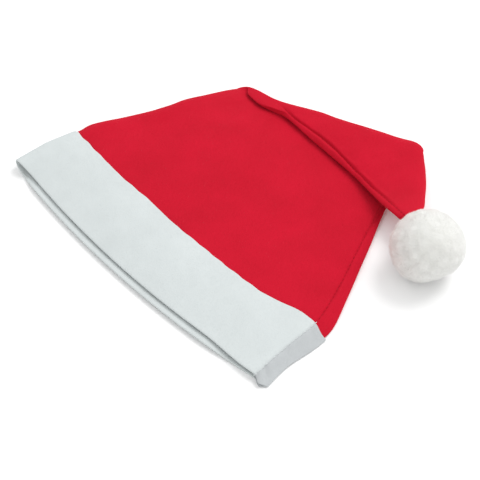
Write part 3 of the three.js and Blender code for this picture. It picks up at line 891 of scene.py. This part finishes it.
def pile_tree():
    """Scatters bent fibres over a mesh, along its normals and its lean attribute."""
    tree, given, node = new_tree("pile", [
        ("Fibre", "Object", None), ("Density", "Float", 1000.0), ("Length", "Float", 0.003),
        ("Width", "Float", 0.0003), ("Lean", "Float", 1.0), ("Scatter", "Float", 0.3),
        ("Seed", "Int", 1), ("Material", "Material", None)])
    seed = given["Seed"]
    nap = node("GeometryNodeInputNamedAttribute", {"Name": "nap"}, data_type="FLOAT")
    thick = node("ShaderNodeMath", {0: nap["Attribute"], 1: given["Density"]}, operation="MULTIPLY")
    spread = node("GeometryNodeDistributePointsOnFaces", {
        "Mesh": given["Geometry"], "Density": thick[0], "Seed": seed})
    lean = node("GeometryNodeInputNamedAttribute", {"Name": "lean"}, data_type="FLOAT_VECTOR")
    lean_far = node("ShaderNodeVectorMath", {0: lean["Attribute"], "Scale": given["Lean"]},
                    operation="SCALE")
    stray = node("FunctionNodeRandomValue", {"Min": (-1, -1, -1), "Max": (1, 1, 1), "Seed": seed},
                 data_type="FLOAT_VECTOR")
    stray_far = node("ShaderNodeVectorMath", {0: stray["Value"], "Scale": given["Scatter"]},
                     operation="SCALE")
    both = node("ShaderNodeVectorMath", {0: lean_far["Vector"], 1: stray_far["Vector"]},
                operation="ADD")
    way = node("ShaderNodeVectorMath", {0: spread["Normal"], 1: both["Vector"]}, operation="ADD")
    # Sockets 2 and 3 of a random value are its least and its greatest number, and output 1 is it
    spin = node("FunctionNodeRandomValue", {3: 2 * math.pi, "Seed": seed}, data_type="FLOAT")
    turn = node("ShaderNodeCombineXYZ", {"Z": spin[1]})
    align = node("FunctionNodeAlignEulerToVector", {"Vector": way["Vector"]}, axis="Z")
    rotate = node("FunctionNodeRotateEuler", {
        "Rotation": align["Rotation"], "Rotate By": turn["Vector"]}, rotation_type="EULER", space="LOCAL")
    vary = node("FunctionNodeRandomValue", {2: 0.65, 3: 1.1, "Seed": seed}, data_type="FLOAT")
    tall = node("ShaderNodeMath", {0: vary[1], 1: given["Length"]}, operation="MULTIPLY")
    size = node("ShaderNodeCombineXYZ", {"X": given["Width"], "Y": given["Width"], "Z": tall[0]})
    fibre = node("GeometryNodeObjectInfo", {"Object": given["Fibre"]})
    place = node("GeometryNodeInstanceOnPoints", {
        "Points": spread["Points"], "Instance": fibre["Geometry"], "Rotation": rotate["Rotation"],
        "Scale": size["Vector"]})
    return end_tree(tree, place["Instances"], given["Material"])


PILE = pile_tree()
print("pile tree nodes:", len(PILE.nodes))

# %% Run a tree and keep its mesh
def grown(name, source, tree, values):
    """The mesh that a tree makes on a copy of an object's mesh, as a piece of its own."""
    carrier = bpy.data.objects.new(name + "_carrier", source.data)
    bpy.context.scene.collection.objects.link(carrier)
    modifier = carrier.modifiers.new("tree", "NODES")
    modifier.node_group = tree
    named = {item.name: item.identifier for item in tree.interface.items_tree if item.in_out == "INPUT"}
    for key, value in values.items():
        modifier[named[key]] = value
    bpy.context.view_layer.update()
    evaluated = carrier.evaluated_get(bpy.context.evaluated_depsgraph_get())
    mesh = bpy.data.meshes.new_from_object(evaluated)
    carrier.modifiers.remove(modifier)
    bpy.data.objects.remove(carrier)
    mesh.name = name
    made = bpy.data.objects.new(name, mesh)
    bpy.context.scene.collection.objects.link(made)
    return made


def lifted(piece, lowest=0.05 * MM):
    """Bend what would stick through the floor back onto it."""
    corners = np.empty(len(piece.data.vertices) * 3, np.float32)
    piece.data.vertices.foreach_get("co", corners)
    corners[2::3] = np.maximum(corners[2::3], lowest)
    piece.data.vertices.foreach_set("co", corners)
    return piece


# %% Grow the pile and the fuzz
PILE_VALUES = {"Fibre": PLUSH_FIBRE, "Density": 2.1e6, "Length": 1.7 * MM, "Width": 0.13 * MM,
               "Lean": 0.15, "Scatter": 0.35, "Material": WHITE_PLUSH}
FUZZ_VALUES = {"Fibre": FUZZ_FIBRE, "Length": 0.9 * MM, "Width": 0.07 * MM, "Lean": 0.0, "Scatter": 1.4}
pile_pieces = [
    lifted(grown(f"pompom_pile_{number}", pompom_head, PILE, {**PILE_VALUES, "Seed": 30 + number}))
    for number in (1, 2)]
crown_fuzz = lifted(grown("crown_fuzz", crown_felt, PILE, {
    **FUZZ_VALUES, "Density": 3.6e5, "Seed": 41, "Material": RED_FELT}))
band_fuzz = lifted(grown("band_fuzz", band_felt, PILE, {
    **FUZZ_VALUES, "Density": 9.0e5, "Seed": 42, "Material": WHITE_FELT}))
for piece in (*pile_pieces, crown_fuzz, band_fuzz):
    describe(piece)

# %% [markdown]
# Three seams show: down the right side of the bag, along the flap, and across the band's right end.
# Each is a groove in the felt with a line of machine stitches in it. The groove's line was kept
# when the piece was made, so a Geometry Nodes tree can walk along it, set a stitch every few
# millimetres and turn it the way that the line runs.

# %% Tree that sews along a line
def stitch_mesh(name):
    """One stitch of unit length along X, round, thinner and lower at its ends."""
    rings = [(-0.5, 0.22), (-0.36, 0.42), (0.0, 0.5), (0.36, 0.42), (0.5, 0.22)]
    points, faces, sides, sink = [], [], 6, 2.4
    for along, radius in rings:
        for corner in range(sides):
            turn = 2 * math.pi * corner / sides
            high = radius * math.sin(turn) - sink * along * along
            points.append((along, radius * math.cos(turn), high))
    for start in range(0, len(points) - sides, sides):
        for corner in range(sides):
            a, b = start + corner, start + (corner + 1) % sides
            faces.append((a, b, b + sides, a + sides))
    faces += [tuple(range(sides))[::-1], tuple(range(len(points) - sides, len(points)))]
    mesh = bpy.data.meshes.new(name)
    mesh.from_pydata(points, [], faces)
    mesh.polygons.foreach_set("use_smooth", [True] * len(mesh.polygons))
    return bpy.data.objects.new(name, mesh)


def stitch_tree():
    """Sets one stitch after another along a line of edges."""
    tree, given, node = new_tree("stitches", [
        ("Stitch", "Object", None), ("Spacing", "Float", 0.004), ("Length", "Float", 0.003),
        ("Width", "Float", 0.0005), ("Material", "Material", None)])
    curve = node("GeometryNodeMeshToCurve", {"Mesh": given["Geometry"]})
    even = node("GeometryNodeResampleCurve", {"Curve": curve["Curve"], "Length": given["Spacing"]},
                mode="LENGTH")
    align = node("FunctionNodeAlignEulerToVector", {
        "Vector": node("GeometryNodeInputTangent")["Tangent"]}, axis="X")
    size = node("ShaderNodeCombineXYZ", {
        "X": given["Length"], "Y": given["Width"], "Z": given["Width"]})
    stitch = node("GeometryNodeObjectInfo", {"Object": given["Stitch"]})
    place = node("GeometryNodeInstanceOnPoints", {
        "Points": even["Curve"], "Instance": stitch["Geometry"], "Rotation": align["Rotation"],
        "Scale": size["Vector"]})
    return end_tree(tree, place["Instances"], given["Material"])


STITCHES, STITCH = stitch_tree(), stitch_mesh("stitch")
print("stitch faces:", len(STITCH.data.polygons))

# %% Sew the seams
STITCH_SPACING, STITCH_LENGTH, THREAD_WIDTH, THREAD_LIFT = 3.6, 2.9, 0.55, 0.35


def seam_path(name, line):
    """The seam's line as a chain of edges, a little above the bottom of its groove."""
    points = (pressed(line) + TO_ROW + np.array((0, 0, THREAD_LIFT))) * MM
    mesh = bpy.data.meshes.new(name)
    mesh.from_pydata(points.tolist(), [(k, k + 1) for k in range(len(points) - 1)], [])
    return bpy.data.objects.new(name, mesh)


RED_THREAD = felt("thread_red", linear(160, 8, 30), linear(190, 12, 40), 300, 2600, 0.7, 0.2,
                  0.1, linear(255, 120, 130))
WHITE_THREAD = felt("thread_white", linear(196, 200, 200), linear(222, 226, 226), 300, 2600, 0.7, 0.2,
                    0.1, linear(250, 252, 255))
THREADS = {"body_stitches": RED_THREAD, "flap_stitches": RED_THREAD, "band_stitches": WHITE_THREAD}
stitch_pieces = {}
for name, line in seam_lines.items():
    stitch_pieces[name] = grown(name, seam_path(name + "_path", line), STITCHES, {
        "Stitch": STITCH, "Spacing": STITCH_SPACING * MM, "Length": STITCH_LENGTH * MM,
        "Width": THREAD_WIDTH * MM, "Material": THREADS[name]})
    describe(stitch_pieces[name])

# %% [markdown]
# The hat lies on a plain white floor under one large soft light from behind, with a pale sky all
# round that fills the shadows. Together they light the floor a little past white. So only the
# darkest part of each shadow shows, close to the hat, as in the photograph.

# %% Floor, light and view
SKY_STRENGTH = 0.98
KEY_PLACE, KEY_SIZE, KEY_POWER = (0.2, 0.95, 1.5), 1.1, 15
FLOOR_TONES, FLOOR_HALF_WIDTH = (0.93, 0.95), 3


def add_key():
    data = bpy.data.lights.new("key", "AREA")
    data.shape, data.size, data.energy = "DISK", KEY_SIZE, KEY_POWER
    light = bpy.data.objects.new("key", data)
    light.location = KEY_PLACE
    light.rotation_euler = Vector(KEY_PLACE).to_track_quat("Z", "Y").to_euler()
    bpy.context.scene.collection.objects.link(light)


def add_sky():
    sky = bpy.data.worlds.new("pale_sky")
    sky.use_nodes = True
    feed(sky.node_tree, sky.node_tree.nodes["Background"], {
        "Color": (1, 1, 1, 1), "Strength": SKY_STRENGTH})
    bpy.context.scene.world = sky


def add_floor():
    bm = bmesh.new()
    bmesh.ops.create_grid(bm, x_segments=1, y_segments=1, size=FLOOR_HALF_WIDTH)
    mesh = bpy.data.meshes.new("floor")
    bm.to_mesh(mesh)
    bm.free()
    made = bpy.data.objects.new("floor", mesh)
    bpy.context.scene.collection.objects.link(made)
    material = bpy.data.materials.new("floor_white")
    material.use_nodes = True
    tree = material.node_tree
    speckle = add_node(tree, "ShaderNodeTexNoise", {"Scale": 30})
    tone = add_node(tree, "ShaderNodeValToRGB", {"Fac": speckle.outputs["Fac"]})
    for stop, grey in zip(tone.color_ramp.elements, FLOOR_TONES):
        stop.color = (grey, grey, grey, 1)
    feed(tree, tree.nodes["Principled BSDF"], {
        "Base Color": tone.outputs["Color"], "Roughness": 0.9, "Specular IOR Level": 0.1})
    mesh.materials.append(material)
    return made


floor = add_floor()
add_sky()
add_key()
bpy.context.scene.view_settings.view_transform = "Standard"
print("floor", floor.dimensions.to_tuple(1), "sky", SKY_STRENGTH, "key", KEY_POWER)

# %% [markdown]
# Last, each soft piece rides on the hat's one body, and the plain solids of the crown, the band and
# the pompom, which the bag, the band and the pompom's head now stand for, are hidden.

REPLACED = {crown_felt: "crown", band_felt: "band", pompom_head: "pompom"}
SLOTS = {crown_felt: "red_felt", band_felt: "white_felt", pompom_head: "white_plush"}
SLOTS.update({piece: "white_plush" for piece in pile_pieces})
SLOTS.update({crown_fuzz: "red_felt", band_fuzz: "white_felt"})
SLOTS.update({stitch_pieces["body_stitches"]: "red_felt", stitch_pieces["flap_stitches"]: "red_felt",
              stitch_pieces["band_stitches"]: "white_felt"})
for piece, slot_name in SLOTS.items():
    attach(piece, "root")
for piece, node_name in REPLACED.items():
    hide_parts(node_name)
